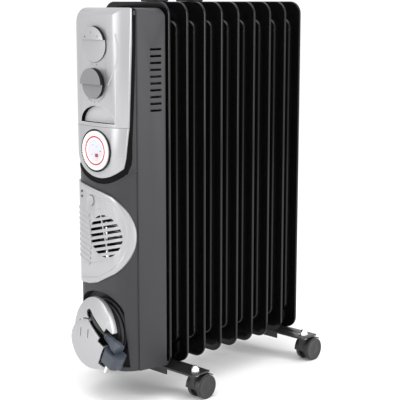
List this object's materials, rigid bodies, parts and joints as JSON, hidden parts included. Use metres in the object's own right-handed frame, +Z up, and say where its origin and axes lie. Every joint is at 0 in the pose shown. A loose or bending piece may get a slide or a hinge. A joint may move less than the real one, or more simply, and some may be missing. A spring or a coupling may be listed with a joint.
{
  "type": "oil filled radiator heater",
  "caption": "Portable oil filled radiator of pressed elements on castors, with a front housing for heat, thermostat, timer and fan heater controls and a cord store.",
  "frame": {"origin": "on the floor, under the middle of the footprint", "axes": "+X from the control housing to the last element, +Y to the left of someone facing the controls, +Z up"},
  "size_m": [0.448, 0.2492, 0.676],
  "materials": {
    "element_paint": "glossy black stove enamel",
    "foot_paint": "satin black enamel",
    "sheath_metal": "dull rolled metal",
    "steel": "zinc plated",
    "brass": "turned",
    "chrome": "bright",
    "nickel": "bright nickel plating",
    "cover_plastic": "dark grey, fine texture",
    "silver_plastic": "silver lacquer, satin",
    "recess_plastic": "light grey, satin",
    "knob_grey": "mid grey, satin",
    "timer_white": "white, satin",
    "timer_pale": "pale blue grey, gloss",
    "signal_red": "red, gloss",
    "black_plastic": "black, satin",
    "wheel_plastic": "black, semi gloss",
    "ceramic_frame": "pale, dull",
    "cord_rubber": "black, matt",
    "plug_plastic": "dark slate grey, matt"
  },
  "bodies": {
    "heater": {"fin_1": "element_paint", "fin_2": "element_paint", "fin_3": "element_paint", "fin_4": "element_paint", "fin_5": "element_paint", "fin_6": "element_paint", "fin_7": "element_paint", "fin_8": "element_paint", "fin_9": "element_paint", "heater_tube": "sheath_metal", "element_flange": "brass", "filler_plug": "steel", "front_cover": "cover_plastic", "rear_cover": "cover_plastic", "back_plate": "steel", "housing_screws": "steel", "upper_panel": "silver_plastic", "timer_panel": "silver_plastic", "panel_recess": "recess_plastic", "fan_grille": "silver_plastic", "timer_centre": "timer_pale", "indicator_lamps": "signal_red", "selector_switch": "black_plastic", "thermostat_body": "sheath_metal", "timer_motor": "timer_white", "fan_motor": "steel", "fan_heater": "ceramic_frame", "terminal_block": "ceramic_frame", "thermal_cutout": "black_plastic", "carry_handle": "black_plastic", "cord_hub": "black_plastic", "store_upper_shell": "silver_plastic", "store_lower_shell": "silver_plastic", "cord_gland": "cord_rubber", "cord_tail": "cord_rubber", "cord_coil": "cord_rubber", "cord_lead": "cord_rubber", "plug_body": "plug_plastic", "plug_pins": "nickel", "foot_plate_front": "foot_paint", "foot_plate_rear": "foot_paint", "foot_clamps": "steel", "wing_nuts": "steel", "castor_stems": "steel", "cap_nuts": "chrome"},
    "selector": {"selector_knob": "silver_plastic"},
    "thermostat": {"thermostat_knob": "knob_grey"},
    "timer_dial": {"timer_ring": "timer_white", "timer_tappets": "timer_white"},
    "timer_mode": {"timer_switch": "signal_red"},
    "fan_push": {"fan_button": "silver_plastic"},
    "fan_rotor": {"fan_impeller": "timer_white"},
    "castor_front_left_body": {"castor_front_left": "black_plastic"},
    "wheels_front_left_body": {"wheels_front_left": "wheel_plastic"},
    "castor_front_right_body": {"castor_front_right": "black_plastic"},
    "wheels_front_right_body": {"wheels_front_right": "wheel_plastic"},
    "castor_rear_left_body": {"castor_rear_left": "black_plastic"},
    "wheels_rear_left_body": {"wheels_rear_left": "wheel_plastic"},
    "castor_rear_right_body": {"castor_rear_right": "black_plastic"},
    "wheels_rear_right_body": {"wheels_rear_right": "wheel_plastic"}
  },
  "joints": [
    {"name": "selector_turn", "type": "hinge", "parent": "heater", "child": "selector", "pos_m": [-0.202, 0, 0.575], "axis": [1, 0, 0], "range_deg": [0, 135]},
    {"name": "thermostat_turn", "type": "hinge", "parent": "heater", "child": "thermostat", "pos_m": [-0.202, 0, 0.515], "axis": [1, 0, 0], "range_deg": [0, 270]},
    {"name": "timer_turn", "type": "hinge", "parent": "heater", "child": "timer_dial", "pos_m": [-0.202, 0, 0.41], "axis": [1, 0, 0], "continuous": true},
    {"name": "timer_mode_slide", "type": "slide", "parent": "heater", "child": "timer_mode", "axis": [0, 0, 1], "range_m": [-0.0023, 0.0023]},
    {"name": "fan_push_slide", "type": "slide", "parent": "heater", "child": "fan_push", "axis": [1, 0, 0], "range_m": [0, 0.003], "stiffness_N_per_m": 200},
    {"name": "fan_turn", "type": "hinge", "parent": "heater", "child": "fan_rotor", "pos_m": [-0.16, -0.0175, 0.275], "axis": [1, 0, 0], "continuous": true},
    {"name": "front_left_swivel", "type": "hinge", "parent": "heater", "child": "castor_front_left_body", "pos_m": [-0.092, 0.11, 0.04], "axis": [0, 0, 1], "continuous": true},
    {"name": "front_left_roll", "type": "hinge", "parent": "castor_front_left_body", "child": "wheels_front_left_body", "pos_m": [-0.076, 0.11, 0.02], "axis": [0, 1, 0], "continuous": true},
    {"name": "front_right_swivel", "type": "hinge", "parent": "heater", "child": "castor_front_right_body", "pos_m": [-0.092, -0.11, 0.04], "axis": [0, 0, 1], "continuous": true},
    {"name": "front_right_roll", "type": "hinge", "parent": "castor_front_right_body", "child": "wheels_front_right_body", "pos_m": [-0.076, -0.11, 0.02], "axis": [0, 1, 0], "continuous": true},
    {"name": "rear_left_swivel", "type": "hinge", "parent": "heater", "child": "castor_rear_left_body", "pos_m": [0.188, 0.11, 0.04], "axis": [0, 0, 1], "continuous": true},
    {"name": "rear_left_roll", "type": "hinge", "parent": "castor_rear_left_body", "child": "wheels_rear_left_body", "pos_m": [0.204, 0.11, 0.02], "axis": [0, 1, 0], "continuous": true},
    {"name": "rear_right_swivel", "type": "hinge", "parent": "heater", "child": "castor_rear_right_body", "pos_m": [0.188, -0.11, 0.04], "axis": [0, 0, 1], "continuous": true},
    {"name": "rear_right_roll", "type": "hinge", "parent": "castor_rear_right_body", "child": "wheels_rear_right_body", "pos_m": [0.204, -0.11, 0.02], "axis": [0, 1, 0], "continuous": true}
  ]
}
